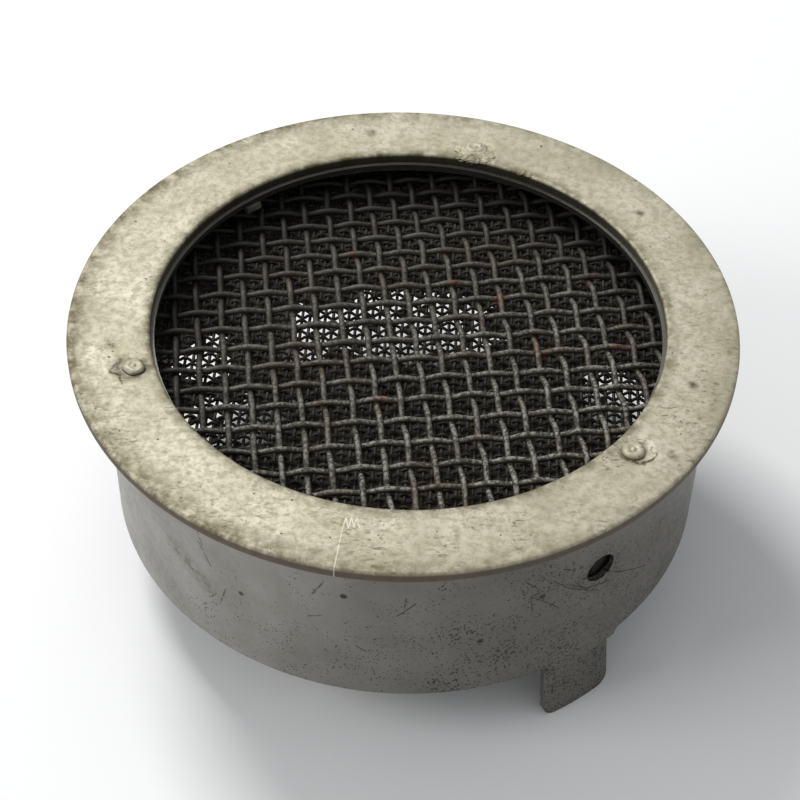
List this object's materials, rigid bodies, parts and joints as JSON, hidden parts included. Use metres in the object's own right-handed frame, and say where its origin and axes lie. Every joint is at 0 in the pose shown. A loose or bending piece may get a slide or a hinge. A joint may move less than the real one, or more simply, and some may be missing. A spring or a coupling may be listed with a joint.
{
  "type": "dryer diffuser",
  "caption": "Round sheet-metal air diffuser: a flanged sleeve with locking tabs and side screw holes, and a coarse and a fine woven wire screen inside.",
  "frame": {"origin": "on the sleeve's axis, level with the sleeve's open lower edge", "axes": "+Z along the sleeve's axis towards the flange; the middle of the first locking tab is 54 degrees from +X towards -Y"},
  "size_m": [0.065, 0.065, 0.0297],
  "materials": {
    "flange_metal": "dull plated sheet, stained",
    "sleeve_metal": "dull plated sheet, grey",
    "rivet_metal": "dull",
    "ring_metal": "spring steel, dusty",
    "rim_metal": "folded sheet, dusty",
    "coarse_wire": "woven wire, dusty with specks of rust",
    "fine_wire": "fine woven wire, dark with dust"
  },
  "bodies": {
    "root": {"flange_ring": "flange_metal", "sleeve": "sleeve_metal", "rivet_front_right": "rivet_metal", "rivet_back": "rivet_metal", "rivet_left": "rivet_metal", "stop_ring": "ring_metal", "screen_rim": "rim_metal", "retaining_ring": "ring_metal", "coarse_screen_weft": "coarse_wire", "coarse_screen_warp": "coarse_wire", "fine_screen_weft": "fine_wire", "fine_screen_warp": "fine_wire"}
  },
  "joints": []
}
